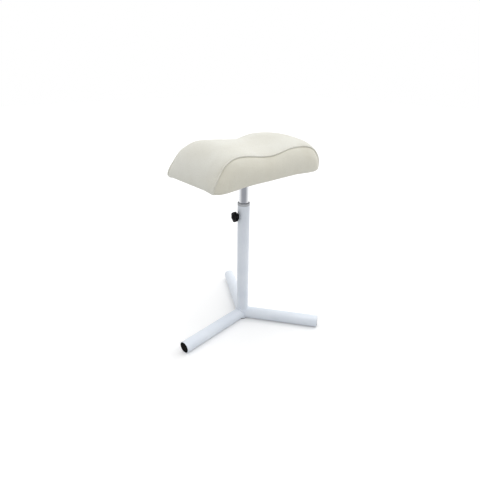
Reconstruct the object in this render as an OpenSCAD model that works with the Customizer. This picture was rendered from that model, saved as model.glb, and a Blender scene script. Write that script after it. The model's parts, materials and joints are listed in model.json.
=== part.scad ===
// Adjustable leg rest: a saddle cushion on a telescoping post, clamped by a hand knob,
// over a welded three-leg tube base. The origin is on the column's axis, on the floor.
// +Z is up and +X runs along the cushion's length.

/* [Cushion] */
// Length of the cushion over both humps
cushion_l = 347; // [280:1:420]
// Width of the cushion
cushion_w = 201; // [160:1:240]
// Height of the humps over the cushion's underside
hump_h = 76; // [72:1:100]
// Depth of the valley between the humps, at the seams
valley_depth = 14; // [4:1:16]
// Share of the valley that the padding fills along the middle
valley_fill = 0.8; // [0:0.05:1]
// Length of each rounded end, from its crest outward
end_round_l = 71; // [50:1:90]
// Rise of the top across the width
crown = 4; // [1:0.5:8]
// Radius of the roll from the top down the side panels
edge_roll = 52; // [30:1:54]
// Radius of the corners in plan
corner_r = 33; // [20:1:50]
// How far the cover draws in towards the board
draw_in = 2; // [1:0.5:5]
// Offset of the cushion from the post along its length
cushion_x = 3; // [-10:1:10]
// Offset of the cushion from the post across its width
cushion_y = -3; // [-10:1:10]
// Thickness of the cover material
cover_t = 1.6; // [1:0.1:2.4]
// Diameter of the piping
piping_d = 4; // [3:0.5:5]
// Width of the cover's hem under the board
hem_w = 26; // [18:1:35]
// Thickness of the seat board
board_t = 12; // [9:1:18]
// Thickness of the dust cloth
cloth_t = 0.8; // [0.4:0.1:1.5]

/* [Base] */
// Outer diameter of the column and of the legs
tube_d = 32; // [30:1:40]
// Wall of the column and of the legs
tube_wall = 1.5; // [1.2:0.1:2.2]
// Height of the column with its bush
column_h = 357; // [300:1:420]
// Distance from the column's axis to the end of a leg
leg_reach = 220; // [160:1:300]
// Bearing of the front leg from the cushion's length
front_leg_bearing = -52.5; // [-70:0.5:-40]
// Bearing of the rear leg from the cushion's length
rear_leg_bearing = 61; // [50:0.5:80]
// Bearing of the left leg from the cushion's length
left_leg_bearing = 185.5; // [170:0.5:200]

/* [Post] */
// Outer diameter of the sliding post
post_d = 25; // [22:0.5:26]
// Wall of the sliding post
post_wall = 1.2; // [1:0.1:2]
// Length of the sliding post
post_l = 292; // [200:1:330]
// Height of the cushion's underside over the floor
seat_h = 438; // [390:1:520]
// Diameter of the post's flange
flange_d = 96; // [80:1:120]
// Thickness of the flange
flange_t = 3; // [2:0.5:5]

/* [Clamp] */
// Bearing of the clamping screw
clamp_bearing = 168; // [-180:1:180]
// Depth of the clamping screw below the column's mouth
clamp_drop = 36; // [30:1:80]
// Diameter of the clamping screw
screw_d = 8; // [6:1:10]
// Diameter of the knob over its lobes
knob_d = 28; // [24:1:40]
// Number of lobes on the knob
knob_lobes = 6; // [5:1:8]

/* [Hidden] */
$fn = 64;

// Colours
paint_white = "#e6eaef";
plastic_black = "#1b1b1d";
plastic_grey = "#a9adb3";
nylon_white = "#e9e7df";
chrome = "#b9bcc2";
zinc = "#9da1a6";
leatherette = "#e8e7de";
piping_cream = "#f1f0e8";
foam_yellow = "#e6d8a0";
plywood = "#c9a878";
cloth_grey = "#4a4a4c";

// Overrun of every cut, and the small clearances
cut = 1;
run_gap = 0.05;
seat_gap = 0.3;
press_gap = 0.02;

// Tubes of the base
tube_r = tube_d / 2;
bore_r = tube_r - tube_wall;
weld_gap = 0.2;
weld_size = 2.6;
weld_rise = 2;
leg_bearings = [front_leg_bearing, rear_leg_bearing, left_leg_bearing];
leg_count = len(leg_bearings);

// Leg plugs: a domed head, and a spigot with ribs
plug_head_t = 2.6;
plug_head_inset = 0.6;
plug_round = 1.2;
plug_spigot_l = 18;
plug_wall = 1.8;
plug_rib_t = 1.4;
plug_rib_count = 3;
plug_rib_rise = 0.6;
leg_tube_end = leg_reach - plug_head_t;

// Column foot plug and mouth bush
foot_t = 2;
foot_inset = 0.5;
foot_spigot_l = 14;
bush_collar_h = 7;
bush_spigot_l = 15;
bush_chamfer = 0.8;
column_top = column_h - bush_collar_h;

// Post
post_r = post_d / 2;
post_bore_r = post_r - post_wall;
post_top = seat_h + cover_t;
post_bottom = post_top - post_l;
glide_l = 18;
glide_gap = 0.3;
spigot_shoulder = 3;
spigot_r = post_r - spigot_shoulder;
plug_insert_l = 16;
plug_end_t = 3;

// Flange fixings
flange_screw_d = 6;
flange_screw_inset = 10;
flange_screw_pcd = flange_d - 2 * flange_screw_inset;
flange_screw_count = 4;
flange_hole_gap = 0.3;
head_d = 12;
head_h = 3.4;
recess_w = 1.2;
recess_l = 6;
recess_depth = 2;
tee_flange_d = 18;
tee_flange_t = 1.4;
tee_barrel_d = 8.6;
tee_barrel_l = board_t - 3 * tee_flange_t;
flange_screw_l = flange_t + board_t - tee_flange_t;
flange_edge = 1;
flange_weld = 3;

// Clamp, measured outward from the column's axis
clamp_z = column_h - clamp_drop;
screw_r = screw_d / 2;
nut_wall = 3;
nut_r = screw_r + nut_wall;
nut_h = 4.5;
nut_chamfer = 0.6;
tip_gap = 0.3;
tip_inset = 0.6;
tip_r = screw_r - tip_inset;
tip_pin_r = 1.75;
tip_pin_l = 4;
tip_face = post_r + tip_gap;
screw_start = bore_r + tube_wall / 2;
tip_back = screw_start - run_gap;
knob_gap = 0.8;
skirt_start = tube_r + knob_gap;
skirt_wall = 1.4;
skirt_r = nut_r + run_gap + skirt_wall;
cavity_end = tube_r + nut_h + knob_gap;
skirt_shoulder = 0.4;
head_start = cavity_end + skirt_shoulder;
head_t = 8.5;
head_round = 2.2;
dome_step = 0.6;
dome_r = skirt_r + dome_step;
dome_h = 4.5;
head_end = head_start + head_t;
knob_end = head_end + dome_h;
lobe_share = 0.17;
lobe_r = knob_d * lobe_share;
lobe_overlap_share = 0.8;
screw_end = head_end;

// Board and cloth
side_y = cushion_w / 2;
under_x = cushion_l / 2 - draw_in;
under_y = side_y - draw_in;
board_margin = 6;
board_x = cushion_l / 2 - board_margin;
board_y = side_y - board_margin;
board_round = corner_r - board_margin;
cloth_margin = hem_w / 2;
cloth_round = 12;
cloth_hole_gap = 1;
staple_margin = 16;
staple_crown = 10;
staple_wire = 0.9;
staple_leg = 6;
staples_long = 6;
staples_short = 3;

// Cushion form. Stations across the width carry closed outlines in the XZ plane.
widest_share = 0.4;
widest_h = (hump_h - valley_depth - edge_roll) * widest_share;
crest_x = cushion_l / 2 - end_round_l;
end_shape = 2;
low_steps = 2;
end_steps = 6;
top_steps = 12;
roll_steps = 6;
across_steps = 4;
seam_turn = 46;
flat_y = side_y - edge_roll;
piping_proud = 0.4;
piping_sides = 8;
piping_r = piping_d / 2;
channel_gap = 0.2;
channel_y = piping_r + channel_gap;
foam_gap = 1;
foam_lip = 6;

// Place of a station on the roll: turn 0 is the side, 90 is the top; t is the depth below the surface
function roll_y(turn, t) = side_y - t - (edge_roll - t) * (1 - cos(turn));
function roll_inset(turn, t) = t + (edge_roll - t) * (1 - sin(turn));

// Inset of the ends at a station, which rounds the corners in plan
function plan_inset(y, t) =
    let (share = min(1, max(0, (abs(y) - side_y + corner_r) / (corner_r - t))))
    t + (corner_r - t) * (1 - sqrt(1 - share * share));

// Height of the lower edge at a station
function lift_share(y) = 1 - sqrt(max(0, 1 - pow(min(1, max(0, (y - under_y) / draw_in)), 2)));
function lift_at(y, t) = t + (widest_h - t) * lift_share(y + t);

// Drop of the top between the crests
function valley_drop(x) = valley_depth * (1 + cos(180 * x / crest_x)) / 2;

// Left half of an outline, from the lower edge up to the crest
function low_points(a, lift) = [
    for (k = [0 : low_steps - 1])
        let (turn = 90 * k / low_steps)
        [-(a - draw_in * (1 - sin(turn))), lift + (max(widest_h, lift) - lift) * (1 - cos(turn))]
];
function end_points(a, crest_h, wide, start) = [
    for (k = [0 : end_steps - 1])
        let (turn = start + (90 - start) * k / end_steps)
        [
            -(crest_x + (a - crest_x) * pow(cos(turn), 2 / end_shape)),
            wide + (crest_h - wide) * pow(sin(turn), 2 / end_shape)
        ]
];
function mirrored(points) = [for (k = [len(points) - 1 : -1 : 0]) [-points[k][0], points[k][1]]];

// Closed outline of the station at y, clockwise seen from the front. With a base it starts level there.
function outline(y, inset, t, lift, base = 0) =
    let (
        middle = max(0, 1 - pow(y / flat_y, 2)),
        crest_h = hump_h - inset + crown * middle,
        wide = max(widest_h, lift),
        start = asin(pow(max(0, base - wide) / (crest_h - wide), end_shape / 2)),
        left = let (a = cushion_l / 2 - plan_inset(y, t))
            concat(base > 0 ? [] : low_points(a, lift), end_points(a, crest_h, wide, start)),
        top = [
            for (k = [0 : top_steps])
                let (x = crest_x * (2 * k / top_steps - 1))
                [x, crest_h - valley_drop(x) * (1 - valley_fill * middle)]
        ]
    )
    concat(left, top, mirrored(left));

// Outline carried to its place across the width
function station(y, inset, t, base) = [
    for (p = outline(y, inset, t, lift_at(abs(y), t), base)) [p[0], y, p[1]]
];
function roll_station(side, share, t, base) =
    let (
        low = base + foam_lip + edge_roll + valley_depth - hump_h,
        first = base > 0 ? asin(max(0, low) / edge_roll) : 0,
        turn = first + (90 - first) * share
    )
    station(side * roll_y(turn, t), roll_inset(turn, t), t, base);
function stations(t, base) = concat(
    [for (k = [0 : roll_steps]) roll_station(-1, k / roll_steps, t, base)],
    [for (k = [1 : across_steps - 1]) station(flat_y * (2 * k / across_steps - 1), t, t, base)],
    [for (k = [roll_steps : -1 : 0]) roll_station(1, k / roll_steps, t, base)]
);

// Solid through a list of rings with the same number of points
module loft(rings) {
    n = len(rings[0]);
    m = len(rings);
    polyhedron(
        points = [for (ring = rings, p = ring) p],
        faces = concat(
            [[for (i = [0 : n - 1]) i]],
            [[for (i = [n - 1 : -1 : 0]) (m - 1) * n + i]],
            [
                for (j = [0 : m - 2], i = [0 : n - 1])
                    let (a = j * n + i, b = j * n + (i + 1) % n)
                    each [[a, a + n, b + n], [a, b + n, b]]
            ]
        )
    );
}

// Cushion's place over the post
module at_cushion(z = 0) {
    translate([cushion_x, cushion_y, seat_h + z]) children();
}

// Cushion's form at a depth t below its surface, over a base height above the underside
module cushion_form(t, base = 0) {
    loft(stations(t, base));
}

module rounded_plate(half_x, half_y, r, h) {
    linear_extrude(h) {
        square([2 * (half_x - r), 2 * half_y], center = true);
        square([2 * half_x, 2 * (half_y - r)], center = true);
        for (sx = [-1, 1], sy = [-1, 1]) translate([sx * (half_x - r), sy * (half_y - r)]) circle(r);
    }
}

// Legs

module leg_axis(number) {
    rotate([0, 0, leg_bearings[number]]) translate([0, 0, tube_r]) rotate([0, 90, 0]) children();
}

// Half of the angle to the neighbouring leg on one side, 1 or -1, where the two are mitred
function half_angle(number, side) =
    let (next = leg_bearings[(number + side + leg_count) % leg_count])
    (side * (next - leg_bearings[number]) + 360) % 360 / 2;

// Share of the floor between the mitres of a leg, to a distance along it
module leg_share(number, reach) {
    polygon([
        [0, 0],
        [reach, -reach * tan(half_angle(number, -1))],
        [reach, reach * tan(half_angle(number, 1))]
    ]);
}

module leg(number) {
    color(paint_white) difference() {
        intersection() {
            leg_axis(number) cylinder(r = tube_r, h = leg_tube_end);
            rotate([0, 0, leg_bearings[number]]) linear_extrude(tube_d) leg_share(number, 2 * leg_reach);
        }
        leg_axis(number) translate([0, 0, -cut]) cylinder(r = bore_r, h = leg_reach + 2 * cut);
        translate([0, 0, -cut]) cylinder(r = tube_r + weld_gap, h = tube_d + 2 * cut);
    }
}

// End plug, revolved: z runs outward along the leg and 0 is the tube's end
module plug_form(head_r, head_t, round_r, spigot_l) {
    rib_pitch = spigot_l / (plug_rib_count + 0.5);
    spigot_out = bore_r - plug_rib_rise - press_gap;
    rotate_extrude() difference() {
        union() {
            square([head_r, head_t - round_r]);
            square([head_r - round_r, head_t]);
            translate([head_r - round_r, head_t - round_r]) circle(round_r, $fn = 32);
            translate([0, -spigot_l]) square([spigot_out, spigot_l]);
            for (k = [1 : plug_rib_count])
                translate([0, -k * rib_pitch]) square([bore_r - press_gap, plug_rib_t]);
        }
        translate([0, -spigot_l - cut]) square([spigot_out - plug_wall, spigot_l + cut]);
        translate([-2 * round_r, -spigot_l]) square([2 * round_r, spigot_l + head_t + cut]);
        translate([-head_r, -spigot_l]) square([head_r, 2 * spigot_l]);
    }
}

module leg_plug(number) {
    color(plastic_black) leg_axis(number) translate([0, 0, leg_tube_end])
        plug_form(tube_r - plug_head_inset, plug_head_t, plug_round, plug_spigot_l);
}

module front_leg() { leg(0); }
module rear_leg() { leg(1); }
module left_leg() { leg(2); }
module front_leg_plug() { leg_plug(0); }
module rear_leg_plug() { leg_plug(1); }
module left_leg_plug() { leg_plug(2); }

// Column

module clamp_axis() {
    translate([0, 0, clamp_z]) rotate([0, 0, clamp_bearing]) rotate([0, 90, 0]) children();
}

module column_tube() {
    color(paint_white) difference() {
        translate([0, 0, foot_t]) cylinder(r = tube_r, h = column_top - foot_t);
        cylinder(r = bore_r, h = column_h);
        clamp_axis() cylinder(r = screw_r + run_gap, h = tube_d);
    }
}

module column_foot_plug() {
    color(plastic_black) translate([0, 0, foot_t]) mirror([0, 0, 1])
        plug_form(tube_r - foot_inset, foot_t, foot_t / 4, foot_spigot_l);
}

module column_bush() {
    color(plastic_grey) translate([0, 0, column_top]) rotate_extrude() polygon([
        [post_r + run_gap, -bush_spigot_l],
        [bore_r - run_gap - bush_chamfer / 2, -bush_spigot_l],
        [bore_r - run_gap, bush_chamfer - bush_spigot_l],
        [bore_r - run_gap, 0],
        [tube_r, 0],
        [tube_r, bush_collar_h - bush_chamfer],
        [tube_r - bush_chamfer, bush_collar_h],
        [post_r + run_gap + bush_chamfer / 2, bush_collar_h],
        [post_r + run_gap, bush_collar_h - bush_chamfer / 2]
    ]);
}

module clamp_nut() {
    color(paint_white) difference() {
        clamp_axis() {
            translate([0, 0, bore_r]) cylinder(r = nut_r, h = tube_wall + nut_h - nut_chamfer);
            translate([0, 0, tube_r + nut_h - nut_chamfer])
                cylinder(r1 = nut_r, r2 = nut_r - nut_chamfer, h = nut_chamfer);
        }
        cylinder(r = tube_r, h = column_h);
        clamp_axis() cylinder(r = screw_r + run_gap, h = tube_d);
    }
}

// Bead over each leg where it meets the column
module hub_weld() {
    color(paint_white) for (k = [0 : leg_count - 1])
        intersection() {
            difference() {
                cylinder(r = tube_r + weld_size, h = tube_d + weld_size);
                translate([0, 0, -cut]) cylinder(r = tube_r + press_gap, h = 2 * tube_d);
            }
            difference() {
                leg_axis(k) cylinder(r = tube_r + weld_rise, h = tube_d);
                leg_axis(k) translate([0, 0, -cut]) cylinder(r = tube_r + press_gap, h = 2 * tube_d);
            }
            rotate([0, 0, leg_bearings[k]]) translate([weld_gap, 0, tube_r + weld_size])
                linear_extrude(tube_d) leg_share(k, tube_d);
        }
}

// Clamp

module clamp_tip() {
    color(nylon_white) clamp_axis() {
        translate([0, 0, tip_face]) cylinder(r = tip_r, h = tip_back - tip_face);
        translate([0, 0, tip_face]) cylinder(r = tip_pin_r, h = tip_back - tip_face + tip_pin_l);
    }
}

module clamp_screw() {
    color(zinc) clamp_axis() difference() {
        translate([0, 0, screw_start]) cylinder(r = screw_r, h = screw_end - screw_start);
        translate([0, 0, screw_start - cut])
            cylinder(r = tip_pin_r + run_gap, h = tip_pin_l + cut + run_gap);
    }
}

// Side outline of the knob's head, revolved round the screw
module knob_turning() {
    knob_r = knob_d / 2;
    rotate_extrude() difference() {
        union() {
            translate([0, head_start + head_round]) square([knob_r, head_t - 2 * head_round]);
            translate([0, head_start]) square([knob_r - head_round, head_t]);
            for (z = [head_start + head_round, head_end - head_round])
                translate([knob_r - head_round, z]) circle(head_round, $fn = 32);
        }
        translate([-knob_d, 0]) square([knob_d, 2 * knob_end]);
    }
}

module knob_lobe_form() {
    translate([0, 0, head_start]) linear_extrude(head_t) {
        circle(knob_d / 2 - lobe_r * lobe_overlap_share);
        for (k = [0 : knob_lobes - 1])
            rotate(360 * k / knob_lobes) translate([knob_d / 2 - lobe_r, 0]) circle(lobe_r, $fn = 40);
    }
}

module knob() {
    dome_ball_r = (pow(dome_r, 2) + pow(dome_h, 2)) / (2 * dome_h);
    color(plastic_black) clamp_axis() difference() {
        union() {
            intersection() {
                knob_turning();
                knob_lobe_form();
            }
            translate([0, 0, skirt_start]) cylinder(r = skirt_r, h = head_start + head_round - skirt_start);
            intersection() {
                translate([0, 0, knob_end - dome_ball_r]) sphere(dome_ball_r);
                translate([0, 0, head_end - head_round]) cylinder(r = dome_r, h = dome_h + head_round + cut);
            }
        }
        translate([0, 0, skirt_start - cut])
            cylinder(r = nut_r + run_gap, h = cavity_end - skirt_start + cut);
        cylinder(r = screw_r, h = screw_end);
    }
}

// Post

module post_glide() {
    color(nylon_white) translate([0, 0, post_bottom - glide_gap - glide_l]) difference() {
        cylinder(r = bore_r - run_gap, h = glide_l);
        translate([0, 0, -cut]) cylinder(r = spigot_r + run_gap, h = glide_l + 2 * cut);
    }
}

module post_tube() {
    color(chrome) translate([0, 0, post_bottom]) difference() {
        cylinder(r = post_r, h = post_l);
        translate([0, 0, -cut]) cylinder(r = post_bore_r, h = post_l + 2 * cut);
    }
}

module post_end_plug() {
    below = glide_l + 2 * glide_gap;
    color(plastic_black) translate([0, 0, post_bottom]) {
        cylinder(r = post_bore_r - press_gap, h = plug_insert_l);
        translate([0, 0, -below]) cylinder(r = spigot_r, h = below);
        translate([0, 0, -below - plug_end_t]) cylinder(r = post_r, h = plug_end_t);
    }
}

module at_flange_screws() {
    for (k = [0 : flange_screw_count - 1])
        rotate(360 * (k + 0.5) / flange_screw_count) translate([flange_screw_pcd / 2, 0, post_top])
            children();
}

module post_flange() {
    color(chrome) difference() {
        union() {
            translate([0, 0, post_top - flange_t + flange_edge])
                cylinder(r = flange_d / 2, h = flange_t - flange_edge);
            translate([0, 0, post_top - flange_t])
                cylinder(r1 = flange_d / 2 - flange_edge, r2 = flange_d / 2, h = flange_edge);
            translate([0, 0, post_top - flange_t - flange_weld])
                cylinder(r1 = post_r, r2 = post_r + flange_weld, h = flange_weld);
        }
        translate([0, 0, post_top - 2 * flange_d]) cylinder(r = post_r, h = 3 * flange_d);
        at_flange_screws() translate([0, 0, -flange_t - cut])
            cylinder(r = flange_screw_d / 2 + flange_hole_gap, h = flange_t + 2 * cut);
    }
}

module flange_screws() {
    head_ball_r = (pow(head_d / 2, 2) + pow(head_h, 2)) / (2 * head_h);
    color(zinc) at_flange_screws() translate([0, 0, -flange_t]) difference() {
        union() {
            cylinder(r = flange_screw_d / 2, h = flange_screw_l);
            intersection() {
                translate([0, 0, head_ball_r - head_h]) sphere(head_ball_r);
                translate([0, 0, -head_h - cut]) cylinder(r = head_d / 2, h = head_h + cut);
            }
        }
        for (turn = [0, 90])
            rotate(turn) translate([-recess_l / 2, -recess_w / 2, -head_h - cut])
                cube([recess_l, recess_w, recess_depth + cut]);
    }
}

module tee_nuts() {
    color(zinc) at_flange_screws() translate([0, 0, board_t]) difference() {
        union() {
            translate([0, 0, -tee_flange_t]) cylinder(r = tee_flange_d / 2, h = tee_flange_t);
            translate([0, 0, -tee_barrel_l]) cylinder(r = tee_barrel_d / 2, h = tee_barrel_l);
        }
        translate([0, 0, -board_t]) cylinder(r = flange_screw_d / 2 + run_gap, h = board_t + cut);
    }
}

// Cushion

module seat_board() {
    color(plywood) difference() {
        at_cushion(cover_t) rounded_plate(board_x, board_y, board_round, board_t);
        at_flange_screws() {
            translate([0, 0, -cut]) cylinder(r = tee_barrel_d / 2 + run_gap, h = board_t + 2 * cut);
            translate([0, 0, board_t - tee_flange_t - run_gap])
                cylinder(r = tee_flange_d / 2 + seat_gap, h = tee_flange_t + cut);
        }
    }
}

module foam_core() {
    color(foam_yellow) at_cushion() cushion_form(cover_t + foam_gap, cover_t + board_t);
}

// Cover as one skin with its hem turned under the board
module cover_skin() {
    difference() {
        cushion_form(0);
        cushion_form(cover_t);
        translate([hem_w - under_x, hem_w - under_y, -cut])
            cube([2 * (under_x - hem_w), 2 * (under_y - hem_w), 2 * cover_t + cut]);
    }
}

// Space of the side panels' hems under the board, mitred at the corners
module side_hem_space() {
    far = cushion_l;
    for (side = [0, 180])
        rotate(side) translate([0, 0, -cut]) linear_extrude(cover_t + cut) polygon([
            [under_y - under_x, 0],
            [under_x - under_y, 0],
            [under_x + far, under_y + far],
            [-under_x - far, under_y + far]
        ]);
}

module cover_top() {
    edge_y = roll_y(seam_turn, 0) - channel_y;
    color(leatherette) at_cushion() difference() {
        intersection() {
            cover_skin();
            translate([-cushion_l, -edge_y, -cut]) cube([2 * cushion_l, 2 * edge_y, 2 * hump_h]);
        }
        side_hem_space();
    }
}

module cover_side(side) {
    edge_y = roll_y(seam_turn, 0) + channel_y;
    color(leatherette) at_cushion() intersection() {
        cover_skin();
        union() {
            translate([-cushion_l, side > 0 ? edge_y : -edge_y - cushion_w, -cut])
                cube([2 * cushion_l, cushion_w, 2 * hump_h]);
            intersection() {
                side_hem_space();
                translate([-cushion_l, side > 0 ? 0 : -cushion_w, -cut])
                    cube([2 * cushion_l, cushion_w, hump_h]);
            }
        }
    }
}

module cover_front() { cover_side(-1); }
module cover_back() { cover_side(1); }

// Piping along the seam of one side, from hem to hem
module piping(side) {
    y = side * roll_y(seam_turn, -piping_proud);
    ring = outline(y, roll_inset(seam_turn, -piping_proud), -piping_proud, 0);
    path = [for (k = [1 : len(ring) - 2]) ring[k]];
    last = len(path) - 1;
    color(piping_cream) at_cushion() loft([
        for (k = [0 : last])
            let (
                along = path[min(last, k + 1)] - path[max(0, k - 1)],
                normal = [-along[1], along[0]] / norm(along)
            )
            [
                for (q = [0 : piping_sides - 1])
                    let (turn = -360 * q / piping_sides)
                    [
                        path[k][0] + piping_r * cos(turn) * normal[0],
                        y + piping_r * sin(turn),
                        path[k][1] + piping_r * cos(turn) * normal[1]
                    ]
            ]
    ]);
}

module piping_front() { piping(-1); }
module piping_back() { piping(1); }

module dust_cloth() {
    color(cloth_grey) difference() {
        at_cushion(-cloth_t) rounded_plate(under_x - cloth_margin, under_y - cloth_margin, cloth_round, cloth_t);
        translate([0, 0, seat_h - cloth_t - cut]) cylinder(r = flange_d / 2 + cloth_hole_gap, h = cloth_t + 2 * cut);
    }
}

module staple() {
    translate([-staple_crown / 2, -staple_wire / 2, -staple_wire])
        cube([staple_crown, staple_wire, staple_wire]);
    for (x = [-staple_crown / 2, staple_crown / 2 - staple_wire])
        translate([x, -staple_wire / 2, -staple_wire]) cube([staple_wire, staple_wire, staple_leg]);
}

module staples() {
    row_x = under_x - staple_margin;
    row_y = under_y - staple_margin;
    color(zinc) at_cushion(-cloth_t) for (side = [-1, 1]) {
        for (k = [0 : staples_long - 1])
            translate([row_x * (2 * (k + 0.5) / staples_long - 1), side * row_y, 0]) staple();
        for (k = [0 : staples_short - 1])
            translate([side * row_x, row_y * (2 * (k + 0.5) / staples_short - 1), 0]) rotate(90) staple();
    }
}

front_leg();
rear_leg();
left_leg();
front_leg_plug();
rear_leg_plug();
left_leg_plug();
column_tube();
column_foot_plug();
column_bush();
clamp_nut();
hub_weld();
clamp_tip();
clamp_screw();
knob();
post_glide();
post_tube();
post_end_plug();
post_flange();
flange_screws();
tee_nuts();
seat_board();
foam_core();
cover_top();
cover_front();
cover_back();
piping_front();
piping_back();
dust_cloth();
staples();
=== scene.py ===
# Leg rest with a saddle cushion: photo camera, soft studio, materials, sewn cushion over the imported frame.
import json
import math

import bpy
from mathutils import Matrix, Vector, noise
from mathutils.bvhtree import BVHTree


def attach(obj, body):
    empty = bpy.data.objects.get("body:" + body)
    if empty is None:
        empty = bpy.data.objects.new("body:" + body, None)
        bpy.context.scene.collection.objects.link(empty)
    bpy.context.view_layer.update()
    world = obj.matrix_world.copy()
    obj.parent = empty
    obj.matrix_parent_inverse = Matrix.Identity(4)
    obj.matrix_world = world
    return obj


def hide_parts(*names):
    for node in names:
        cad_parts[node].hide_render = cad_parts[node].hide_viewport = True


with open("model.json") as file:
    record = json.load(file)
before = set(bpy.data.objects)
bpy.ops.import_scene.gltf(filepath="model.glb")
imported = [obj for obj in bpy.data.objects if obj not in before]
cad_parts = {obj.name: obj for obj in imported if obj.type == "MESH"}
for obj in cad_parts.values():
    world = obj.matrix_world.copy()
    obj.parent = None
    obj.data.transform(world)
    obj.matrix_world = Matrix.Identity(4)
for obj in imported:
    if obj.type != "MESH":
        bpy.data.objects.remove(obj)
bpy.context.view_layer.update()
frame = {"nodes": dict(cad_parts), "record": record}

nodes = frame["nodes"]
scene = bpy.context.scene


# Small helpers. The values of each piece are in millimetres and degrees, and mm() turns them to metres

def mm(value):
    return value / 1000


def deselectAll():
    if bpy.context.object and bpy.context.object.mode != "OBJECT":
        bpy.ops.object.mode_set(mode="OBJECT")
    bpy.ops.object.select_all(action="DESELECT")


def selectOnly(obj):
    deselectAll()
    obj.select_set(True)
    bpy.context.view_layer.objects.active = obj


def addModifier(obj, kind):
    selectOnly(obj)
    bpy.ops.object.modifier_add(type=kind)
    return obj.modifiers[-1]


def applyModifiers(obj):
    selectOnly(obj)
    for name in [modifier.name for modifier in obj.modifiers]:
        bpy.ops.object.modifier_apply(modifier=name)


def editWhole(obj, operator, **settings):
    # One edit mode operator on the whole mesh
    selectOnly(obj)
    bpy.ops.object.mode_set(mode="EDIT")
    bpy.ops.mesh.select_all(action="SELECT")
    operator(**settings)
    bpy.ops.object.mode_set(mode="OBJECT")


def outwardFaces(obj):
    editWhole(obj, bpy.ops.mesh.normals_make_consistent, inside=False)


def smoothFaces(obj, angle=None):
    selectOnly(obj)
    if angle is None:
        bpy.ops.object.shade_smooth()
    else:
        bpy.ops.object.shade_smooth_by_angle(angle=math.radians(angle))


def meshObject(name, vertices, faces):
    mesh = bpy.data.meshes.new(name)
    mesh.from_pydata(vertices, [], faces)
    mesh.update()
    obj = bpy.data.objects.new(name, mesh)
    scene.collection.objects.link(obj)
    return obj


def frameReach(direction, *names):
    # How far these nodes of the frame reach in a direction, in millimetres, to a tenth as in the source
    aim = Vector(direction)
    return round(1000 * max(vertex.co.dot(aim) for name in names for vertex in nodes[name].data.vertices), 1)


def frameBox(*names):
    # Low and high corner of these nodes of the frame together, in millimetres
    axes = ((1, 0, 0), (0, 1, 0), (0, 0, 1))
    low = [-frameReach([-share for share in axis], *names) for axis in axes]
    high = [frameReach(axis, *names) for axis in axes]
    return low, high


def smoothStep(low, high, value):
    share = min(1, max(0, (value - low) / (high - low)))
    return share * share * (3 - 2 * share)


def noiseAt(x, y, z):
    return noise.noise(Vector((x, y, z)))


# Materials

def toLinear(hexText):
    parts = [int(hexText[i:i + 2], 16) / 255 for i in (1, 3, 5)]
    return tuple(p / 12.92 if p <= 0.04045 else ((p + 0.055) / 1.055) ** 2.4 for p in parts) + (1.0,)


def addNode(tree, kind, settings=None, links=None, stops=()):
    # Settings are the node's own or its sockets' values, a linked node gives its first output,
    # and stops are a colour ramp's places and colours
    node = tree.nodes.new(kind)
    for key, value in (settings or {}).items():
        if isinstance(key, str) and hasattr(node, key):
            setattr(node, key, value)
        else:
            node.inputs[key].default_value = value
    for key, source in (links or {}).items():
        tree.links.new(source.outputs[0] if hasattr(source, "outputs") else source, node.inputs[key])
    if stops:
        elements = node.color_ramp.elements
        while len(elements) < len(stops):
            elements.new(0.5)
        for element, (place, hexText) in zip(elements, stops):
            element.position = place
            element.color = toLinear(hexText)
    return node


def startMaterial(name):
    material = bpy.data.materials.new(name)
    material.use_nodes = True
    tree = material.node_tree
    tree.nodes.clear()
    place = addNode(tree, "ShaderNodeTexCoord").outputs["Object"]
    return material, tree, place


def patternScale(size):
    return 1000 / size  # noise scale that repeats about once in this many millimetres


def powderCoat():
    # White polyester powder coat, sprayed and baked: cool white, semi-gloss with orange peel
    look = {
        "colour": "#EDF3FB", "thin": "#E4EBF5", "mottle": 60, "peel": 1.6, "flow": 11,
        "roughness": (0.29, 0.41), "coat": 0.25, "coatRoughness": 0.12, "bump": 0.12,
    }
    material, tree, place = startMaterial("white_powder_coat_baked")
    mottle = addNode(tree, "ShaderNodeTexNoise", {
        "Scale": patternScale(look["mottle"]), "Detail": 4.0,
    }, {"Vector": place})
    peel = addNode(tree, "ShaderNodeTexNoise", {
        "Scale": patternScale(look["peel"]), "Detail": 2.0,
    }, {"Vector": place})
    flow = addNode(tree, "ShaderNodeTexNoise", {
        "Scale": patternScale(look["flow"]), "Detail": 2.0,
    }, {"Vector": place})
    base = addNode(tree, "ShaderNodeValToRGB", links={"Fac": mottle}, stops=[
        (0.3, look["thin"]), (0.62, look["colour"]),
    ])
    rough = addNode(tree, "ShaderNodeMapRange", {
        "From Min": 0.3, "From Max": 0.7, "To Min": look["roughness"][0], "To Max": look["roughness"][1],
    }, {"Value": flow})
    bump = addNode(tree, "ShaderNodeBump", {
        "Strength": look["bump"], "Distance": mm(0.3),
    }, {"Height": peel})
    shader = addNode(tree, "ShaderNodeBsdfPrincipled", {
        "IOR": 1.5, "Coat Weight": look["coat"], "Coat Roughness": look["coatRoughness"],
    }, {"Base Color": base, "Roughness": rough, "Normal": bump})
    addNode(tree, "ShaderNodeOutputMaterial", links={"Surface": shader})
    return material


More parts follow.
